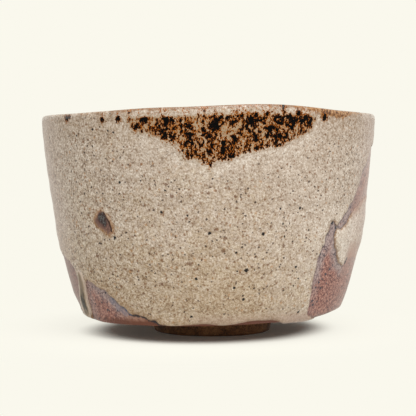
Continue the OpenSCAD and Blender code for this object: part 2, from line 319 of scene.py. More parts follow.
def trimmed(points, t):
    """Moves points behind the knife's plane, which lies a coat's thickness outside the trimmed clay."""
    level, steep = math.cos(CUT_SLOPE), math.sin(CUT_SLOPE)
    normal = np.array([level * math.sin(CUT_ANGLE), -level * math.cos(CUT_ANGLE), -steep])
    touch = WAIST_CENTRE @ [level, -steep] + WAIST_ROUND
    beyond = points @ normal - (touch - CUT_DEPTH + t)
    softness = 0.5
    return points - normal * (0.5 * (beyond + np.sqrt(beyond ** 2 + softness ** 2)))[..., None]


def by_hand(points):
    """Bends a true round into a hand-thrown one: lip and waist dip, and the wall leans out of round."""
    angle = np.arctan2(points[..., 0], -points[..., 1])
    height = points[..., 2]
    swell = 0.5 * band(height, (BEND_Z, 15), (46, 28))
    uneven = 0.2 * np.cos(2 * angle + 0.6) + 0.15 * np.cos(3 * angle - 1.1) - 0.15
    wide = 1 + (swell + smooth(height, BEND_Z, BOWL_H) * uneven) / RIM_R
    bent = points * np.stack([wide, wide, np.ones_like(wide)], axis=-1)
    bent[..., 0] += 0.15 + 0.4 * band(height, (FOOT_H, FOOT_H + 3), (BOWL_H, 45))
    bent[..., 2] -= np.clip((height - BEND_Z) / (BOWL_H - BEND_Z), 0, 1) ** 2 * lip_dip(angle)
    outward = smooth(np.hypot(points[..., 0], points[..., 1]), SEAT_R, WAIST_R - 2)
    bent[..., 2] -= outward * smooth(height, WAIST_Z + 7, WAIST_Z) * waist_dip(angle)
    return bent


def place(angle, s, t):
    """Points of the bowl at angles, lengths along the skin and distances out of the clay."""
    r, z = SKIN.at(s, t)
    points = np.stack([r * np.sin(angle), -r * np.cos(angle), z], axis=-1)
    return by_hand(trimmed(points, np.asarray(t)))


def rounded(outline):
    """A closed outline with its corners cut twice."""
    points = np.asarray(outline, dtype=float)
    for _ in range(2):
        after = np.roll(points, -1, axis=0)
        cut = [0.75 * points + 0.25 * after, 0.25 * points + 0.75 * after]
        points = np.stack(cut, axis=1).reshape(-1, 2)
    return points


class Patch:
    """An outline on the bowl's skin, with the signed distance to it: positive inside, in millimetres."""

    MARGIN = 14.0

    def __init__(self, outline):
        points = rounded(outline)
        self.s = path_at(points[:, 1])
        self.angle = np.radians(points[:, 0])
        self.x = self.angle * self.radius(self.s)

    @staticmethod
    def radius(s):
        return np.maximum(np.interp(s, SKIN.s, SKIN.r), 1.0)

    def inside(self, angle, s):
        """Signed distance, or -FAR where the outline is far away."""
        x = angle * self.radius(s)
        found = np.full(np.shape(angle), -FAR)
        near = (x > self.x.min() - self.MARGIN) & (x < self.x.max() + self.MARGIN)
        near &= (s > self.s.min() - self.MARGIN) & (s < self.s.max() + self.MARGIN)
        px, py = x[near], s[near]
        gap, odd = np.full(px.shape, FAR), np.zeros(px.shape, dtype=bool)
        for ax, ay, bx, by in zip(self.x, self.s, np.roll(self.x, -1), np.roll(self.s, -1)):
            dx, dy = bx - ax, by - ay
            share = np.clip(((px - ax) * dx + (py - ay) * dy) / max(dx * dx + dy * dy, 1e-9), 0, 1)
            gap = np.minimum(gap, np.hypot(px - ax - share * dx, py - ay - share * dy))
            crosses = (ay > py) != (by > py)
            odd ^= crosses & (px < ax + (py - ay) * dx / (dy if dy else 1e-9))
        found[near] = np.where(odd, gap, -gap)
        return found


def on_wall(outline, zero, up=1):
    """A patch by angles and heights above a zero height, or drops below it."""
    return Patch([(angle, zero + up * height) for angle, height in outline])


def dab_outline(angle, drop, wide, tall):
    """A dab of iron as an outline by angle and height."""
    turns = np.radians(np.arange(0, 360, 45))
    reach = math.degrees(wide / RIM_R)
    return [(angle + reach * math.cos(t), LIP_Z - drop + tall * math.sin(t)) for t in turns]


MARKS = [on_wall(outline, UNDER_Z) for outline in (RIGHT_MARK, LEFT_MARK, SIDE_MARK)]
RUN_PATCH, CORE_PATCH, BLED_PATCH = (on_wall(outline, UNDER_Z) for outline in (RUN, SPOT_CORE, BLED_SPOT))
SPLASH_PATCH = on_wall(SPLASH, LIP_Z, -1)
DAB_PATCHES = [Patch(dab_outline(*dab)) for dab in DABS]


def mark_depth(angle, s):
    """Signed distance inside the bare marks, with the uneven edge that running glaze leaves."""
    depth = np.max([mark.inside(angle, s) for mark in MARKS], axis=0)
    return depth + 0.3 * waves(angle, s, 11, 14, (20, 90), 0.25)


def softness(angle, s):
    """Where the glaze fades out over the slip without an edge: beside the pale lobe and below it."""
    degrees, height = np.degrees(angle), height_at(s)
    beside = band(degrees, (58.5, 64), (122, 104)) * band(height, (10, 16), (52, 36))
    below = band(degrees, (26, 38), (61, 57)) * smooth(height, 4.5, 1.5)
    return np.maximum(beside, 0.5 * below)


def iron_clumps(angle, s):
    """How thick the iron lies, by the nearest of its clumps, dabs and drops."""
    most = np.zeros(np.shape(angle))
    clumps = [(degrees, drop, radius, radius, 1.0) for degrees, drop, radius in CLUMPS]
    for degrees, drop, wide, tall, thick in clumps + [(*dab, DAB_THICK) for dab in DABS + LIP_DROPS]:
        aside = (angle - math.radians(degrees)) * RIM_R / wide
        gap = np.hypot(aside, (s - path_at(LIP_Z - drop)) / tall)
        most = np.maximum(most, thick * (1 - smooth(gap, 0.3, 1.5)))
    return most


def nearest_dab(angle, s):
    """Signed distance inside the dabs of iron under the lip."""
    return np.max([patch.inside(angle, s) for patch in DAB_PATCHES], axis=0)


def glaze_low(angle):
    """Length along the skin to the uneven lower edge of the pale glaze."""
    return path_at(UNDER_Z + glaze_edge(angle) + 0.15 * waves(angle, 0, 5, 8, (12, 40), 0))


def glaze_keep(angle, s):
    """Signed distance inside the outer glaze from its open edges."""
    return np.minimum(-mark_depth(angle, s), s - glaze_low(angle))


def bead(keep, width):
    """The rounded edge of a coat: 0 at its edge and 1 beyond a width."""
    return np.sqrt(np.maximum(1 - (1 - np.clip(keep / width, 0, 1)) ** 2, 0))


def throwing(angle, s):
    """Relief of the thrown and dipped wall: soft rings and slow swells."""
    rings = 0.05 * np.cos(2 * np.pi * s / RING_PITCH + angle + 0.8 * waves(angle, s, 3, 4, (1, 3), 0.02))
    swells = 0.07 * waves(angle, s, 7, 12, (2, 9), 0.05) + 0.03 * waves(angle, s, 8, 16, (12, 40), 0.12)
    return rings + swells


def outer_top(angle, s):
    """Distance of the outer glaze's surface from the clay."""
    keep = glaze_keep(angle, s)
    soft = softness(angle, s)
    rise = (1 - soft) * bead(keep, BEAD_W) + soft * smooth(keep, 0, FADE_W)
    relief = throwing(angle, s) * smooth(s, S_LIP, S_LIP - LIP_FADE) * bead(keep, 4)
    return SLIP_T + EDGE_T + (GLAZE_T - EDGE_T) * rise + relief


def lip_top(s):
    """Distance of the lip's surface from the clay. It fills the outer corner, crisper than the clay's."""
    even = np.interp(s, [S_LIP, S_TOP - 0.6, S_TOP + 0.6, S_INNER], [COAT_T, LIP_T, LIP_T, INNER_T])
    turned = np.clip((s - S_LIP) / (LIP_ROUND * math.pi / 2), 0, 1)
    return even + 0.4 * np.sin(math.pi * turned) ** 2


def inner_top(angle, s):
    """Distance of the inner glaze's surface from the clay, with the spiral of the throwing fingers."""
    depth = s - S_INNER
    spiral = 0.16 * np.cos(2 * np.pi * depth / SPIRAL_PITCH - angle)
    spiral = spiral * smooth(depth, 6, 26) * smooth(S_END - s, 1, 9)
    swell = 0.08 * waves(angle, s, 21, 10, (1, 6), 0.04) * smooth(depth, 0, 8) * smooth(S_END - s, 3, 16)
    return INNER_T + spiral + swell


def glaze_fields(angle, s, edge=None):
    """The fields that the glaze material reads, for vertices of any glazed piece."""
    far = np.full(np.shape(angle), FAR)
    soft = 0 * far if edge is None else softness(angle, s)
    edge = far if edge is None else np.clip(edge, -1, FAR)
    degrees, height = np.degrees(angle), height_at(s)
    splash = SPLASH_PATCH.inside(angle, s)
    lobe = band(degrees, (48.5, 52), (70, 64)) * band(height, (17, 20), (40, 34))
    return {
        "edge": edge,
        "soft": soft,
        "blush": soft * (1 - smooth(edge, 0.3, 3 + 6 * smooth(height, 33, 26))),
        "pale": pale_share(angle),
        "bloom": smooth(height, 5.5, 1.5) * band(degrees, (-14, 0), (60, 40)),
        "calm": np.maximum(lobe, smooth(splash, -8, -0.5)),
        # painted reflection: the glaze is painted paler and pinker towards both sides, in place of the sheen
        # at the bowl's edges
        "painted_sheen": band(np.abs(degrees), (52, 80), (135, 95)) * smooth(s, S_TOP, S_TOP - 3),
        "pepper": pepper_share(angle) * smooth(s, S_TOP + 3, S_TOP),
        "splash": np.maximum(splash, nearest_dab(angle, s) + 0.6),
        "clump": iron_clumps(angle, s),
        "spot": BLED_PATCH.inside(angle, s),
        "core": CORE_PATCH.inside(angle, s),
        "run": RUN_PATCH.inside(angle, s),
        "lip": s - S_TOP,
        "brown": lip_brown(angle),
        "ochre": ochre_share(angle),
    }


class Cells:
    """Grid cells over angles and lengths along a line, cut along the zero line of a field."""

    def __init__(self, angles, path, keep=None, closed=True):
        n, m = len(angles), len(path)
        a, s = np.meshgrid(angles, path, indexing="ij")
        value = np.ones(n * m) if keep is None else keep(a, s).ravel()
        ids = np.arange(n * m).reshape(n, m)
        here = ids if closed else ids[:-1]
        after = np.roll(ids, -1, axis=0) if closed else ids[1:]
        quads = np.stack([here[:, :-1], after[:, :-1], after[:, 1:], here[:, 1:]], axis=-1).reshape(-1, 4)
        kept = (value > 0)[quads]
        whole, part = kept.all(axis=1), kept.any(axis=1) & ~kept.all(axis=1)
        self.a, self.s, self.value = list(a.ravel()), list(s.ravel()), value
        faces = quads[whole].tolist()
        self.cuts = {}
        for quad in quads[part].tolist():
            faces.append(self.cut(quad))
        used = np.unique(np.concatenate([np.ravel(face) for face in faces]))
        new = np.full(len(self.a), -1)
        new[used] = np.arange(len(used))
        self.faces = [new[face].tolist() for face in faces]
        self.a, self.s = np.array(self.a)[used], np.array(self.s)[used]

    def cut(self, quad):
        """The part of a cell where the field is positive."""
        face = []
        for one, two in zip(quad, quad[1:] + quad[:1]):
            if self.value[one] > 0:
                face.append(one)
            if (self.value[one] > 0) != (self.value[two] > 0):
                face.append(self.crossing(min(one, two), max(one, two)))
        return face

    def crossing(self, one, two):
        """The vertex where the field's zero line crosses an edge of the grid."""
        if (one, two) not in self.cuts:
            share = np.clip(self.value[one] / (self.value[one] - self.value[two]), 0.1, 0.9)
            turn = (self.a[two] - self.a[one] + math.pi) % (2 * math.pi) - math.pi
            self.cuts[one, two] = len(self.a)
            self.a.append(self.a[one] + share * turn)
            self.s.append(self.s[one] + share * (self.s[two] - self.s[one]))
        return self.cuts[one, two]

    def rims(self):
        """Edges that belong to one face only, in that face's direction."""
        edges = set()
        for face in self.faces:
            edges.update(zip(face, face[1:] + face[:1]))
        return [(one, two) for one, two in edges if (two, one) not in edges]


def steps(low, high, size):
    """Even places from low to high, about a size apart."""
    return np.linspace(low, high, int(math.ceil((high - low) / size)) + 1)


def around(size):
    """Even angles all the way round, about a size apart at the rim."""
    return np.linspace(-math.pi, math.pi, int(2 * math.pi * RIM_R / size), endpoint=False)


def add_map(mesh, cells, hidden_from, strips):
    """Adds the bake's map: strips of the circle above each other, and the hidden faces in a low strip."""
    turn = (cells.a / (2 * math.pi) + 0.25) % 1.0 * strips
    rise = (cells.s - cells.s.min()) / max(np.ptp(cells.s), 1e-6)
    loops = np.zeros(len(mesh.loops), dtype=np.int64)
    mesh.loops.foreach_get("vertex_index", loops)
    places = np.zeros((len(loops), 2))
    for polygon in mesh.polygons:
        own = slice(polygon.loop_start, polygon.loop_start + polygon.loop_total)
        ids = loops[own] % len(cells.a)
        u = turn[ids]
        u = np.where(u < u.max() - strips / 2, u + strips, u)
        strip = min(int(u.min()), strips - 1)
        v = HIDDEN_PART + (1 - HIDDEN_PART) * (strip + 0.01 + 0.97 * rise[ids]) / strips
        if polygon.index >= hidden_from:
            v = 0.01 + 0.05 * (strip + rise[ids]) / strips
        places[own] = np.stack([0.005 + 0.98 * (u - strip), v], axis=1)
    layer = mesh.uv_layers.new(name="OFBake")
    layer.data.foreach_set("uv", places.astype(np.float32).ravel())


def add_fields(mesh, fields):
    """Stores fields on a mesh's vertices."""
    for name, values in fields.items():
        layer = mesh.attributes.new(name, "FLOAT", "POINT")
        layer.data.foreach_set("value", np.asarray(values, dtype=np.float32))


def new_mesh(name, points, faces):
    """A mesh from points in millimetres."""
    mesh = bpy.data.meshes.new(name)
    mesh.from_pydata((points * MM).tolist(), [], faces)
    return mesh


def add_object(data):
    """Puts a mesh, lamp or camera in the scene as an object of the same name."""
    made = bpy.data.objects.new(data.name, data)
    bpy.context.scene.collection.objects.link(made)
    return made


def finish_piece(mesh, node, material):
    """Makes a mesh a piece of the bowl that stands for a solid."""
    mesh.polygons.foreach_set("use_smooth", np.ones(len(mesh.polygons), dtype=bool))
    mesh.materials.append(material)
    piece = add_object(mesh)
    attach(piece, "root")
    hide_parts(node)


def merge_poles(mesh):
    """Joins the vertices that meet on the axis."""
    work = bmesh.new()
    work.from_mesh(mesh)
    bmesh.ops.remove_doubles(work, verts=work.verts, dist=1e-7)
    work.to_mesh(mesh)
    work.free()


def shell_mesh(name, patches, strips=2):
    """A closed mesh of one or more coats. Each patch has its cells, its top, its bottom and its fields."""
    points, shown, hidden, fields, start = [], [], [], {}, 0
    for cells, top, bottom, values in patches:
        back = start + len(cells.a)
        points += [place(cells.a, cells.s, top), place(cells.a, cells.s, bottom)]
        shown += [[start + i for i in face] for face in cells.faces]
        hidden += [[back + i for i in reversed(face)] for face in cells.faces]
        hidden += [[start + two, start + one, back + one, back + two] for one, two in cells.rims()]
        for key, value in values.items():
            fields.setdefault(key, []).extend([value, value])
        start += 2 * len(cells.a)
    mesh = new_mesh(name, np.concatenate(points), shown + hidden)
    add_fields(mesh, {key: np.concatenate(values) for key, values in fields.items()})
    if len(patches) == 1:
        add_map(mesh, patches[0][0], len(shown), strips)
    mark_rims(mesh, len(shown))
    return mesh


def mark_rims(mesh, shown):
    """Keeps the shading apart where shown faces meet hidden ones."""
    halves = mesh.polygons[:shown], mesh.polygons[shown:]
    seen, behind = ({key for polygon in half for key in polygon.edge_keys} for half in halves)
    both = seen & behind
    sharp = [tuple(sorted(edge.vertices)) in both for edge in mesh.edges]
    mesh.attributes.new("sharp_edge", "BOOLEAN", "EDGE").data.foreach_set("value", sharp)


def linear(red, green, blue):
    """A colour as seen on a screen, 0 to 255, in the shader's own units."""
    def channel(value):
        value /= 255
        return value / 12.92 if value <= 0.04045 else ((value + 0.055) / 1.055) ** 2.4
    return channel(red), channel(green), channel(blue), 1.0


class Nodes:
    """A node tree that is built one node at a time."""

    def __init__(self, tree):
        self.tree = tree

    def feed(self, socket, value):
        """Links a socket to another's output, or sets it to a plain value."""
        if isinstance(value, bpy.types.NodeSocket):
            self.tree.links.new(value, socket)
        else:
            socket.default_value = value

    def node(self, kind, inputs=None, **settings):
        """A new node with its settings, and inputs by number or name."""
        made = self.tree.nodes.new("ShaderNode" + kind)
        for key, value in settings.items():
            setattr(made, key, value)
        for key, value in (inputs or {}).items():
            self.feed(made.inputs[key], value)
        return made

    def math(self, operation, one, two=0.0, clamp=False):
        return self.node("Math", {0: one, 1: two}, operation=operation, use_clamp=clamp).outputs[0]

    def mix(self, share, one, two):
        """One colour at a share of 0 and the other at 1."""
        return self.node("Mix", {"Factor": share, "A": one, "B": two}, data_type="RGBA").outputs["Result"]

    def plain(self):
        """1 for what the camera sees, straight or in gloss and glass, and 0 for light on other things."""
        rays = self.node("LightPath").outputs
        seen = self.math("MAXIMUM", rays["Is Camera Ray"], rays["Is Glossy Ray"])
        return self.math("MAXIMUM", seen, rays["Is Transmission Ray"])


class Shader(Nodes):
    """A material's nodes, with sizes in millimetres and colours as seen on a screen."""

    def __init__(self, name):
        self.material = bpy.data.materials.new(name)
        self.material.use_nodes = True
        super().__init__(self.material.node_tree)
        self.surface = self.tree.nodes["Principled BSDF"]
        self.mm = self.vector("SCALE", self.node("TexCoord").outputs["Object"], Scale=1 / MM)

    def set(self, **values):
        """Feeds the surface shader's sockets, named with underscores for spaces."""
        for key, value in values.items():
            self.feed(self.surface.inputs[key.replace("_", " ")], value)

    def vector(self, operation, one, two=(0, 0, 0), **inputs):
        made = self.node("VectorMath", {0: one, 1: two, **inputs}, operation=operation)
        return made.outputs["Value" if operation == "DISTANCE" else "Vector"]

    def step(self, value, low, high):
        """0 at low, 1 at high and a smooth step between. Low may be above high."""
        limits = {"From Min": min(low, high), "From Max": max(low, high)}
        ends = {"To Min": float(low > high), "To Max": float(low < high)}
        made = self.node("MapRange", {"Value": value, **limits, **ends}, interpolation_type="SMOOTHSTEP")
        return made.outputs["Result"]

    def ramp(self, value, *stops):
        """Colours along a value. Each stop has its place and its red, green and blue."""
        made = self.node("ValToRGB", {"Fac": value})
        elements = made.color_ramp.elements
        while len(elements) < len(stops):
            elements.new(0.5)
        for element, (place_on, *rgb) in zip(elements, stops):
            element.position = place_on
            element.color = linear(*rgb)
        return made.outputs["Color"]

    def total(self, *terms):
        """Sum of plain values and of products, which are given as pairs."""
        whole = None
        for term in terms:
            part = self.product(*term) if isinstance(term, tuple) else term
            whole = part if whole is None else self.math("ADD", whole, part)
        return whole

    def product(self, whole, *shares):
        """Product of values."""
        for share in shares:
            whole = self.math("MULTIPLY", whole, share)
        return whole

    def coats(self, colour, *coats):
        """A colour with others over it in turn, each with its red, green and blue and its shares."""
        for rgb, *shares in coats:
            colour = self.mix(self.product(*shares), colour, linear(*rgb))
        return colour

    def centred(self, value):
        """A value from 0 to 1 that then swings about 0."""
        return self.math("SUBTRACT", value, 0.5)

    def texture(self, kind, size, where=None, **inputs):
        """Outputs of a texture with features of about a size."""
        where = self.mm if where is None else where
        return self.node("Tex" + kind, {"Vector": where, "Scale": 1 / size, **inputs}).outputs

    def noise(self, size, detail, rough, where=None):
        """Soft noise from 0 to 1."""
        return self.texture("Noise", size, where, Detail=detail, Roughness=rough)["Fac"]

    def swing(self, size, detail, rough, where=None):
        """Soft noise that swings about 0."""
        return self.centred(self.noise(size, detail, rough, where))

    def wobble(self, size, reach):
        """The place, moved about by noise so that round things turn uneven."""
        push = self.vector("SUBTRACT", self.texture("Noise", size)["Color"], (0.5, 0.5, 0.5))
        return self.vector("ADD", self.mm, self.vector("SCALE", push, Scale=2 * reach))

    def specks(self, size, rarity, least, most, where):
        """Round specks, 1 in the middle and 0 outside, in some of the cells of a size."""
        cells = self.texture("Voronoi", size, where)
        draw = self.node("SeparateColor", {"Color": cells["Color"]}).outputs
        radius = self.total((draw["Green"], (most - least) / size), least / size)
        gap = self.math("DIVIDE", cells["Distance"], radius)
        wanted = self.math("GREATER_THAN", draw["Red"], rarity)
        return self.product(wanted, self.step(gap, 1.0, 0.55))

    def grains(self, size):
        """Distance from the middle of the nearest grain, as a share of the grains' size, less its mean."""
        return self.centred(self.texture("Voronoi", size)["Distance"])

    def height(self):
        """Height above the table."""
        return self.node("SeparateXYZ", {0: self.mm}).outputs["Z"]

    def field(self, name):
        """A field that is stored on the mesh."""
        return self.node("Attribute", attribute_name=name).outputs["Fac"]

    def relief(self, height):
        """Bump from a height."""
        self.set(Normal=self.node("Bump", {"Distance": MM, "Height": height}).outputs["Normal"])


# Iron specks that stand out: angle, height above the underside and radius
GLAZE_SPECKS = [
    (31.1, 39.1, 0.6), (18, 30.8, 0.65), (12.8, 19, 0.8), (8.8, 13.3, 0.5), (-5, 16.3, 0.6),
    (32, 19.7, 0.55), (12.5, 9.3, 0.5), (-0.2, 31.1, 0.6), (-34.5, 29.5, 0.7), (-42.1, 27.4, 0.5),
    (-16.2, 38.1, 0.5), (-7.4, 37, 0.4), (-6.9, 34.9, 0.35), (-14.5, 45.1, 0.4), (9, 24.8, 0.45),
    (-7.3, 3.7, 0.55), (0.9, 48.8, 0.4), (23.7, 38.9, 0.45), (25, 34, 0.45), (37.8, 3.8, 0.5),
    (26.5, 22.8, 0.4), (26, 29.8, 0.4), (9.5, 18.7, 0.35), (-39.6, 66.3, 0.5), (-33.3, 65.5, 0.4),
    (-31.2, 64.8, 0.5), (-47.5, 64.4, 0.4), (-30.4, 48, 0.6), (-67.6, 64, 0.45), (33.9, 15.7, 0.4),
]
BROWN_SPECKS = [
    (-12.4, 43.2, 0.8), (-0.6, 44.2, 0.6), (8.1, 42.9, 0.5), (8.7, 39.3, 0.5), (4.4, 25.4, 0.7),
    (-7.1, 21.2, 0.8), (-17.6, 14.4, 0.6), (-44.2, 23, 0.7), (-29.3, 18.7, 0.5), (18.8, 16.4, 0.6),
    (1.7, 32.3, 0.6), (5, 29.5, 0.7), (25.9, 26.8, 0.8), (20.6, 33, 0.6), (-25.2, 11, 0.6),
    (-14, 47.1, 0.6), (14.6, 20.1, 0.5),
]
EDGE_SPECKS = [
    (-41.2, 8.2, 0.5), (-44.6, 10.2, 0.4), (47.6, 34, 0.7), (62.3, 19.9, 0.7), (62.8, 21.2, 0.7),
    (45.4, 30.1, 0.5), (50, 32.2, 0.6),
]
MARK_GRAINS = [
    (46, 24.9, 0.35), (45.6, 23.1, 0.4), (43.3, 23.4, 0.5), (46.9, 20, 0.4), (51.7, 23.1, 0.45),
    (52.4, 19.4, 0.5), (50.8, 18, 0.55), (49.1, 16.4, 0.6), (45.8, 13.8, 0.5), (47.7, 11.7, 0.5),
    (44.4, 7.5, 0.6), (45.6, 5.9, 0.6), (-46.2, 4.7, 0.5), (-45.3, 4.5, 0.4), (-40.3, 4.7, 0.45),
    (-52.2, 12, 0.4), (-49.4, 10, 0.4), (-53.9, 6.2, 0.4), (-48.7, 6.8, 0.4), (-54.2, 1.5, 0.4),
    (-49.2, 1.7, 0.4), (47.7, 7, 0.45), (44.5, 12.1, 0.45), (47.4, 14.8, 0.5), (50.8, 13.2, 0.4),
    (59.1, 39, 0.5), (54.8, 34.3, 0.45),
]
BLUE_SPECKS = [(-35.4, 5.2, 0.8), (-36.8, 6, 0.5), (-33.8, 3.9, 0.7)]
BLUE_HAZE = [(-36.4, 4.6, 2), (-39, 5.8, 1.8), (-41.6, 7.6, 1.8)]
SPOT_RIM = [
    (-38.3 + 2.7 * t + 0.5 * math.sin(math.pi * t), 37.8 - 6.2 * t, 0.4) for t in np.linspace(0, 1, 14)
]


def spots_at(shader, where, specks, thickness):
    """Round specks at given places on the wall, 1 in the middle and 0 outside."""
    nearest = FAR
    for degrees, height, radius in specks:
        point = place(np.array(math.radians(degrees)), path_at(UNDER_Z + height), thickness)
        gap = shader.vector("DISTANCE", where, tuple(point))
        nearest = shader.math("MINIMUM", nearest, shader.math("DIVIDE", gap, radius))
    return shader.step(nearest, 1.1, 0.6)


def pale_colour(shader, loose):
    """Colour and relief of the granular pale glaze, a little pinker and lighter high up and more olive and
    darker low down; the darkening low down is painted shade.
    """
    grain, fine, cell = shader.swing(0.6, 2.0, 0.6), shader.swing(0.28, 1.0, 0.5), shader.grains(0.85)
    mottle, hue = shader.swing(2.2, 3.0, 0.6), shader.swing(1.3, 2.0, 0.6)
    blotch = shader.swing(15, 2.0, 0.5)
    pale, calm, pepper = (shader.field(name) for name in ("pale", "calm", "pepper"))
    lighter = shader.product(pale, shader.step(shader.height(), 52, 38))
    swing = shader.total((grain, 1.1), (cell, -0.4), (fine, 0.9), (mottle, 0.7))
    stronger = shader.total((pepper, 0.5), 1.0)
    value = shader.total((swing, stronger), (lighter, 0.13), (calm, 0.1), 0.515)
    high = shader.ramp(
        value, (0.0, 124, 101, 82), (0.3, 168, 149, 131), (0.5, 194, 177, 160), (0.7, 209, 195, 180),
        (1.0, 238, 229, 217),
    )
    # the low ramp is darker as well as more olive: painted shade low on the wall
    low = shader.ramp(
        value, (0.0, 112, 83, 54), (0.3, 158, 133, 105), (0.5, 186, 165, 139), (0.7, 202, 185, 162),
        (1.0, 234, 222, 204),
    )
    # painted shade: the share of the darker low ramp grows towards the bottom of the wall
    lower = shader.step(shader.height(), 56, 14)
    tint = shader.total((lower, 0.95), (blotch, 1.4), (hue, 2.2), (pale, -0.7))
    busy = shader.total((calm, -0.75), (pepper, 0.3), 1.0)
    dark = shader.specks(1.4, 0.3, 0.16, 0.46, loose)
    colour = shader.coats(
        shader.mix(tint, high, low),
        ((176, 122, 66), shader.specks(1.9, 0.4, 0.25, 0.6, loose), busy, 0.45),
        ((124, 84, 50), shader.specks(1.5, 0.2, 0.2, 0.58, shader.wobble(0.7, 0.5)), busy, 0.72),
        ((62, 46, 36), dark, busy, 0.9),
        # painted reflection: paler and pinker towards the sides, standing in for the sheen at the edges
        ((202, 170, 165), shader.field("painted_sheen"), 0.35),
    )
    return colour, shader.total((grain, 0.13), (cell, -0.05), (fine, 0.04), (dark, -0.03))


def glaze_material(name, specular, roughness=0.3):
    """Pale glaze that thins at its edges and the lip, with the iron splash and spots melted into it."""
    shader = Shader(name)
    loose = shader.wobble(0.7, 0.45)
    uneven = shader.swing(1.4, 3.0, 0.6)
    edge = shader.total(shader.field("edge"), (uneven, 1.2))
    hard = shader.math("SUBTRACT", 1.0, shader.field("soft"))
    ochre = shader.product(hard, shader.field("ochre"))
    colour, height = pale_colour(shader, loose)
    colour = shader.coats(
        colour,
        ((178, 139, 123), shader.field("blush"), 0.9),
        ((184, 163, 150), shader.field("bloom"), 0.5),
        ((176, 140, 100), shader.step(edge, 4.0, 0.4), ochre, 0.5),
        ((132, 92, 56), shader.step(edge, 0.7, 0.1), hard, 0.7),
    )
    colour = lip_break(shader, colour, uneven)
    colour, iron = splash_iron(shader, colour)
    colour = spot_iron(shader, colour, uneven)
    colour = run_glass(shader, colour, uneven)
    colour = shader.coats(
        colour,
        ((104, 66, 40), spots_at(shader, shader.wobble(0.5, 0.6), BROWN_SPECKS, COAT_T), 0.75),
        ((24, 19, 17), spots_at(shader, loose, GLAZE_SPECKS, COAT_T)),
        ((28, 26, 28), spots_at(shader, loose, EDGE_SPECKS, SLIP_T + 0.2)),
    )
    shader.set(Base_Color=colour, Roughness=roughness, Specular_IOR_Level=specular)
    shader.relief(shader.total(height, (iron, 0.05)))
    return shader.material


def lip_break(shader, colour, uneven):
    """Brown clay that breaks through the glaze on top of the lip, and brown patches below it that are partly
    stain and partly painted shade under the lip and high on the right.
    """
    brown = shader.field("brown")
    below = shader.math("ABSOLUTE", shader.field("lip"))
    # partly a brown stain, partly painted shade: patches below the lip, strongest high on the right
    stain_and_shade = shader.math("MULTIPLY", brown, 0.8, clamp=True)
    patchy = shader.step(shader.noise(1.8, 3.0, 0.65), 0.44, 0.62)
    crest = shader.step(shader.total(below, (uneven, 1.5)), 2.35, 1.85)
    colour = shader.coats(
        colour,
        ((140, 108, 74), shader.step(below, 24, 3), 0.13),
        ((138, 106, 74), stain_and_shade, shader.step(below, 12, 4), patchy, 0.55),
        ((124, 80, 40), crest, shader.field("calm"), 0.75),
    )
    tone = shader.ramp(
        shader.noise(0.8, 2.0, 0.6), (0.35, 74, 40, 17), (0.48, 136, 88, 46), (0.62, 184, 144, 102),
    )
    away = shader.total(below, (uneven, 4.5), (brown, -1.2))
    bare = shader.math("MULTIPLY", shader.step(away, 1.6, 0.2), brown, clamp=True)
    return shader.mix(bare, colour, tone)


def splash_iron(shader, colour):
    """Colour and relief of the iron splash: worm-like black grains with brown halos, in amber glaze."""
    tall = shader.vector("MULTIPLY", shader.wobble(0.9, 0.4), (1, 1, 0.65))
    patch, grain = shader.swing(3.2, 1.0, 0.5, tall), shader.swing(0.7, 2.0, 0.75, tall)
    ragged = shader.total(shader.field("splash"), (patch, 1.6), (grain, 3.4))
    inside = shader.step(ragged, -1.0, 1.0)
    below = shader.step(shader.field("lip"), -3.0, -4.6)
    clump = shader.field("clump")
    amount = shader.total((grain, 2.2), (patch, 0.9), (clump, 0.32), (below, 0.3), 0.1)
    iron = shader.math("MULTIPLY", amount, inside, clamp=True)
    colour = shader.coats(colour, ((158, 130, 94), inside, below, 0.7))
    tone = shader.ramp(
        iron, (0.26, 166, 120, 62), (0.35, 168, 96, 22), (0.43, 132, 62, 4), (0.49, 56, 24, 4),
        (0.55, 4, 3, 3),
    )
    return shader.mix(shader.step(iron, 0.2, 0.34), colour, tone), shader.step(iron, 0.4, 0.56)


def spot_iron(shader, colour, uneven):
    """The bled spot: a dark core in purple brown that has run down, in an orange haze."""
    fuzzy = shader.swing(0.7, 2.0, 0.6)
    depth = shader.total(shader.field("spot"), (uneven, 1.8), (fuzzy, 1.2))
    colour = shader.coats(colour, ((160, 112, 64), shader.step(depth, -1.5, 0.1), 0.65))
    value = shader.total((fuzzy, 1.4), 0.5)
    body = shader.ramp(value, (0.2, 92, 66, 62), (0.5, 122, 94, 86), (0.8, 148, 116, 100))
    colour = shader.mix(shader.step(depth, -0.3, 0.9), colour, body)
    core = shader.total(shader.field("core"), (uneven, 1.6), (fuzzy, 0.6))
    mottled = shader.total((core, 0.3), (fuzzy, 2.6), 0.35)
    dark = shader.ramp(mottled, (0.15, 64, 44, 44), (0.5, 70, 62, 61), (0.85, 102, 100, 98))
    colour = shader.mix(shader.step(core, -0.7, 0.5), colour, dark)
    return shader.coats(colour, ((70, 51, 46), spots_at(shader, shader.wobble(1.0, 0.3), SPOT_RIM, COAT_T)))


def run_glass(shader, colour, uneven):
    """Olive glass that has run down between pale ridges, which are painted highlights, and pooled dark above
    the waist.
    """
    depth = shader.total(shader.field("run"), (uneven, 0.9))
    # painted highlight: pale lines along both sides of the run stand in for the shine on its glaze ridges
    colour = shader.coats(colour, ((216, 200, 186), shader.step(depth, -1.5, -0.4), 0.85))
    olive = shader.ramp(shader.step(depth, -0.1, 1.1), (0.0, 156, 138, 114), (1.0, 124, 106, 86))
    colour = shader.mix(shader.product(shader.step(depth, -0.5, 0.2), 0.85), colour, olive)
    tall = shader.total(shader.height(), (shader.swing(3.0, 2.0, 0.6), 10.0))
    pooled = shader.product(shader.step(tall, 8.0, 10.5), shader.step(tall, 17.0, 12.5))
    return shader.coats(colour, ((46, 41, 34), shader.step(depth, 0.0, 0.7), pooled, 0.9))


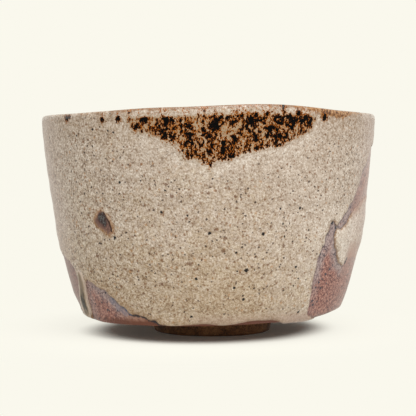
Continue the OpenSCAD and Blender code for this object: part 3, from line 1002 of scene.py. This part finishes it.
def slip_material():
    """Red iron slip in the bare marks: lavender by the glaze, red in the middle, with dark grains."""
    shader = Shader("iron_slip")
    loose = shader.wobble(0.7, 0.4)
    uneven, mottle = shader.swing(2.6, 3.0, 0.6), shader.swing(1.3, 3.0, 0.65)
    grain = shader.swing(0.6, 2.0, 0.6)
    soft, mark = shader.field("soft"), shader.field("mark")
    hard = shader.math("SUBTRACT", 1.0, soft)
    value = shader.total((grain, 2.0), (mottle, 1.3), 0.51)
    red = shader.ramp(
        value, (0.15, 84, 44, 42), (0.42, 136, 88, 78), (0.58, 163, 113, 101), (0.85, 194, 149, 134),
    )
    lavender = shader.ramp(value, (0.15, 112, 92, 96), (0.5, 160, 140, 137), (0.85, 190, 172, 167))
    depth = shader.total(mark, (uneven, 5.0))
    near = shader.product(shader.step(depth, 5.2, 1.0), hard, shader.field("lavender"))
    patchy = shader.step(shader.noise(4.5, 2.0, 0.5), 0.38, 0.54)
    low = shader.total(shader.field("low"), (uneven, 2.0))
    line = shader.total(mark, (shader.swing(1.1, 2.0, 0.6), 1.6))
    colour = shader.coats(
        shader.mix(near, red, lavender),
        ((170, 136, 126), shader.step(depth, 9.0, -1.0), soft, 0.9),
        ((176, 130, 104), shader.field("tan"), 0.7),
        ((112, 70, 62), shader.field("deep"), 0.45),
        # painted reflection: paler, pinker slip high on the right side, standing in for the sheen at the
        # edge
        ((206, 180, 170), shader.field("painted_sheen"), 0.45),
        ((166, 92, 60), shader.specks(1.8, 0.45, 0.2, 0.5, loose), 0.5),
        ((74, 52, 56), shader.specks(1.1, 0.15, 0.2, 0.5, loose), patchy, 0.8),
        ((62, 60, 70), spots_at(shader, loose, MARK_GRAINS, SLIP_T)),
        ((102, 49, 26), shader.step(low, 3.0, 1.0), shader.field("foxed"), 0.9),
        ((36, 34, 40), shader.step(line, 1.0, 0.35), shader.field("fringe"), hard),
        ((34, 38, 48), spots_at(shader, loose, EDGE_SPECKS, SLIP_T)),
        ((138, 138, 154), spots_at(shader, loose, BLUE_HAZE, SLIP_T), 0.5),
        ((72, 92, 122), spots_at(shader, loose, BLUE_SPECKS, SLIP_T)),
    )
    shader.set(Base_Color=colour, Roughness=0.32, Specular_IOR_Level=0.3)
    shader.relief(shader.product(grain, 0.1))
    return shader.material


def clay_material(name, dark, middle, light):
    """Bare sandy stoneware in three colours, with painted shade in its sunken pits."""
    shader = Shader(name)
    sand = shader.noise(0.55, 4.0, 0.7)
    value = shader.total((sand, 1.3), (shader.swing(6.0, 3.0, 0.55), 1.1), -0.15)
    # painted shade: sunken pits take the clay's darkest colour
    shaded_pits = shader.specks(1.4, 0.6, 0.15, 0.4, shader.wobble(0.8, 0.3))
    colour = shader.ramp(value, (0.25, *dark), (0.5, *middle), (0.8, *light))
    shader.set(Base_Color=shader.coats(colour, (dark, shaded_pits, 0.6)), Roughness=0.75)
    shader.relief(shader.total((sand, 0.12), (shaded_pits, -0.08)))
    return shader.material


def make_body(material):
    """The thrown clay, with turning marks on its underside."""
    path = np.concatenate([
        steps(0, S_WALL, 0.5), steps(S_WALL, S_LIP, 2.5)[1:], steps(S_LIP, S_INNER, 0.8)[1:],
        steps(S_INNER, S_END, 2.5)[1:],
    ])
    cells = Cells(around(1.6), path)
    under = smooth(S_WAIST - cells.s, 0, 3)
    uneven = 0.7 * waves(cells.a, cells.s, 31, 5, (1, 4), 0.05)
    turned = 0.09 * np.cos(2 * np.pi * cells.s / TURN_PITCH + uneven)
    nub = 0.8 * np.exp(-(cells.s / 4.5) ** 2)
    points = place(cells.a, cells.s, under * (turned - 0.1 + nub))
    mesh = new_mesh("thrown_body", points, cells.faces)
    add_map(mesh, cells, len(mesh.polygons), 2)
    merge_poles(mesh)
    finish_piece(mesh, "clay_body", material)


def make_foot(material):
    """The turned foot ring, a little uneven, with its edges worn round."""
    low_in, low_out = FOOT_R - FOOT_W + FOOT_DRAW, FOOT_R - FOOT_DRAW
    outline = Line(np.array([
        [FOOT_R - FOOT_W, FOOT_H], [low_in, FOOT_BEVEL], [low_in + FOOT_BEVEL, 0], [low_out - FOOT_BEVEL, 0],
        [low_out, FOOT_BEVEL], [FOOT_R, FOOT_H],
    ]))
    cells = Cells(around(1.0), steps(0, outline.s[-1], 0.35))
    ends = smooth(cells.s, 0, 1) * smooth(outline.s[-1] - cells.s, 0, 1)
    relief = 0.03 * waves(cells.a, cells.s, 41, 12, (3, 24), 0.2)
    relief = relief + 0.05 * np.cos(2 * np.pi * cells.s / FOOT_PITCH)
    r, z = outline.at(cells.s, ends * (relief - 0.08))
    shown = np.stack([FOOT_SHIFT + r * np.sin(cells.a), -r * np.cos(cells.a), np.maximum(z, 0)], axis=1)
    mesh = new_mesh("turned_foot", shown, cells.faces + ring_lid(cells))
    add_map(mesh, cells, len(cells.faces), 2)
    finish_piece(mesh, "foot_ring", material)


def ring_lid(cells):
    """Faces that close the top of a ring, between its first and last lines of vertices."""
    first, last = (np.flatnonzero(cells.s == end) for end in (cells.s.min(), cells.s.max()))
    return np.stack([first, last, np.roll(last, -1), np.roll(first, -1)], axis=1).tolist()


def make_slip(material):
    """The red slip over the whole outside."""
    cells = Cells(around(1.0), steps(path_at(UNDER_Z + SLIP_EDGE), S_LIP, 1.0))
    top = SLIP_T + 0.3 * throwing(cells.a, cells.s) * smooth(cells.s, S_LIP, S_LIP - LIP_FADE)
    degrees, height = np.degrees(cells.a), height_at(cells.s)
    low_right = smooth(height, 18, 6) * smooth(degrees, 20, 40)
    fields = {
        "mark": mark_depth(cells.a, cells.s),
        "low": cells.s - cells.s.min(),
        "soft": softness(cells.a, cells.s),
        "fringe": fringe_share(cells.a),
        "lavender": lavender_share(cells.a) * (1 - 0.7 * low_right),
        "tan": band(degrees, (-42, -33), (-16, -22)),
        "foxed": 0.3 + 0.7 * band(degrees, (-56, -42), (42, 26)),
        "deep": band(degrees, (-112, -104), (-60, -64)),
        # painted reflection: where the slip is painted paler, in place of the sheen at the right edge
        "painted_sheen": smooth(degrees, 64, 76) * smooth(height, 28, 40),
    }
    mesh = shell_mesh("slip_coat", [(cells, top, 0.0, fields)])
    finish_piece(mesh, "iron_slip", material)


def make_outer_glaze(material):
    """The pale glaze on the outside, with its open marks."""
    cells = Cells(around(0.8), steps(path_at(UNDER_Z - 1.2), S_LIP, 0.75), glaze_keep)
    fields = glaze_fields(cells.a, cells.s, glaze_keep(cells.a, cells.s))
    mesh = shell_mesh("glaze_coat", [(cells, outer_top(cells.a, cells.s), SLIP_T - GLAZE_SINK, fields)])
    finish_piece(mesh, "outer_glaze", material)


def make_lip(material):
    """The glaze over the lip."""
    cells = Cells(around(0.8), steps(S_LIP, S_INNER, 0.25))
    mesh = shell_mesh("glazed_lip", [(cells, lip_top(cells.s), 0.0, glaze_fields(cells.a, cells.s))])
    finish_piece(mesh, "lip_glaze", material)


def make_inside(material):
    """The glaze on the inside."""
    cells = Cells(around(1.0), steps(S_INNER, S_END, 1.0))
    top = inner_top(cells.a, cells.s)
    mesh = shell_mesh("glazed_inside", [(cells, top, 0.0, glaze_fields(cells.a, cells.s))])
    merge_poles(mesh)
    finish_piece(mesh, "inner_glaze", material)


def coat_on_glaze(patch, reach, size, high, width):
    """A thin coat over the outer glaze, as far as a patch reaches."""
    angles = steps(patch.angle.min() - 0.05, patch.angle.max() + 0.05, size / RIM_R)
    top_s = min(patch.s.max() + 2, S_LIP - 0.3)
    cells = Cells(angles, steps(patch.s.min() - 2, top_s, size),
                  lambda a, s: patch.inside(a, s) + reach, closed=False)
    under = outer_top(cells.a, cells.s)
    rise = high * bead(patch.inside(cells.a, cells.s) + reach, width)
    fields = glaze_fields(cells.a, cells.s, glaze_keep(cells.a, cells.s))
    return cells, under + EDGE_T + rise, under - PATCH_SINK, fields


def make_splash(material):
    """The iron splash that hangs from the lip."""
    splash = coat_on_glaze(SPLASH_PATCH, reach=0.8, size=0.4, high=0.12, width=4.0)
    finish_piece(shell_mesh("splash_coat", [splash], 1), "iron_splash", material)


def make_spots(material):
    """The bled spot and the dabs of iron."""
    patches = [BLED_PATCH] + DAB_PATCHES
    spots = [coat_on_glaze(patch, reach=0.5, size=0.3, high=0.1, width=2.0) for patch in patches]
    finish_piece(shell_mesh("spot_coats", spots), "iron_spots", material)


def make_run(material):
    """The thick run of glaze between two marks."""
    run = coat_on_glaze(RUN_PATCH, reach=0.6, size=0.25, high=0.35, width=1.2)
    finish_piece(shell_mesh("run_bead", [run], 1), "glaze_run", material)


# The photograph's frame: a square of this many pixels, with the bowl's centre line, the horizon, the table
# under the bowl's middle and the rim's width measured on it
FRAME_PX = 416
CENTRE_PX, HORIZON_PX, TABLE_PX, RIM_PX = 208.4, 185.0, 330.4, 332.0
RIM_D = 120.0
CAMERA_GAP = 468.0
SENSOR = 36.0
BACKGROUND = linear(250, 248, 237)
# The floor: half its length, its own colour, and the ellipse in which it shows before it fades out
FLOOR_HALF = 3000.0
FLOOR_COLOUR = linear(208, 204, 194)
FADE_CENTRE, FADE_TURN, FADE_SHAPE = (0, 10.0, 0), math.radians(72), (1, 0.8, 1)
FADE_NEAR, FADE_FAR = (41.5, 60), (52, 110)
# The lamps: strengths, and angles in degrees. The softbox has its size and place in metres.
WORLD_LEVEL = 0.48
SUN_LEVEL, SUN_SPREAD, SUN_TILT, SUN_TURN = 2.25, 45, 40, 20
BOX_LEVEL, BOX_LONG, BOX_DEEP, BOX_TILT = 0.65, 0.3, 0.1, -16
BOX_PLACE = (0.02, -0.14, 0.45)


def make_camera():
    """The camera, level with the bowl's upper wall, at the photograph's angle."""
    px_per_mm = RIM_PX / RIM_D
    focal_px = px_per_mm * CAMERA_GAP
    data = bpy.data.cameras.new("camera")
    data.sensor_width = SENSOR
    data.lens = SENSOR * focal_px / FRAME_PX
    camera = add_object(data)
    eye = (TABLE_PX - HORIZON_PX) / px_per_mm
    side = (FRAME_PX / 2 - CENTRE_PX) * CAMERA_GAP / focal_px
    camera.location = (side * MM, -CAMERA_GAP * MM, eye * MM)
    camera.rotation_euler = (math.radians(90) - math.atan((FRAME_PX / 2 - HORIZON_PX) / focal_px), 0, 0)
    bpy.context.scene.camera = camera


def make_floor():
    """A pale floor that keeps the bowl's shadow and runs out into the background."""
    shader = Shader("floor")
    ellipse = {"Location": FADE_CENTRE, "Rotation": (0, 0, FADE_TURN), "Scale": FADE_SHAPE}
    spread = shader.node("Mapping", {"Vector": shader.mm, **ellipse}, vector_type="TEXTURE")
    away = shader.vector("DISTANCE", spread.outputs["Vector"])
    near, far = shader.step(away, *FADE_NEAR), shader.step(away, *FADE_FAR)
    plain = shader.plain()
    share = shader.product(shader.total((near, 0.84), (far, 0.14), 0.02), plain)
    shader.set(Base_Color=shader.mix(plain, FLOOR_COLOUR, BACKGROUND), Roughness=1.0, Specular_IOR_Level=0.0)
    glow = shader.node("Emission", {"Color": BACKGROUND}).outputs[0]
    blend = shader.node("MixShader", {0: share, 1: shader.surface.outputs[0], 2: glow})
    shader.feed(shader.tree.nodes["Material Output"].inputs["Surface"], blend.outputs[0])
    corners = FLOOR_HALF * np.array([(-1, -1, 0), (1, -1, 0), (1, 1, 0), (-1, 1, 0)])
    mesh = new_mesh("floor", corners, [(0, 1, 2, 3)])
    mesh.materials.append(shader.material)
    floor = add_object(mesh)


def make_light():
    """Soft light from all round, a wide lamp above on the right and a softbox over the bowl."""
    world = bpy.data.worlds.new("studio")
    bpy.context.scene.world = world
    world.use_nodes = True
    nodes = Nodes(world.node_tree)
    light = nodes.mix(nodes.plain(), (WORLD_LEVEL, WORLD_LEVEL, WORLD_LEVEL, 1), BACKGROUND)
    nodes.feed(nodes.tree.nodes["Background"].inputs["Color"], light)
    sun = bpy.data.lights.new("key", "SUN")
    sun.energy = SUN_LEVEL
    sun.angle = math.radians(SUN_SPREAD)
    add_object(sun).rotation_euler = (math.radians(SUN_TILT), 0, math.radians(SUN_TURN))
    box = bpy.data.lights.new("softbox", "AREA")
    box.shape = "RECTANGLE"
    box.size, box.size_y = BOX_LONG, BOX_DEEP
    box.energy = BOX_LEVEL
    softbox = add_object(box)
    softbox.location = BOX_PLACE
    softbox.rotation_euler = (math.radians(BOX_TILT), 0, 0)
    softbox.visible_camera = False


make_camera()
make_floor()
make_light()
make_body(clay_material("clay", (80, 44, 26), (128, 76, 48), (168, 112, 76)))
make_foot(clay_material("foot_clay", (70, 44, 25), (126, 83, 48), (172, 122, 78)))
make_slip(slip_material())
glaze = glaze_material("pale_glaze", 0.3)
make_outer_glaze(glaze)
make_lip(glaze_material("glossy_glaze", 0.5, 0.16))
make_inside(glaze)
iron = glaze_material("iron_glaze", 0.05)
make_splash(iron)
make_spots(iron)
make_run(iron)
bpy.context.scene.view_settings.view_transform = "Standard"
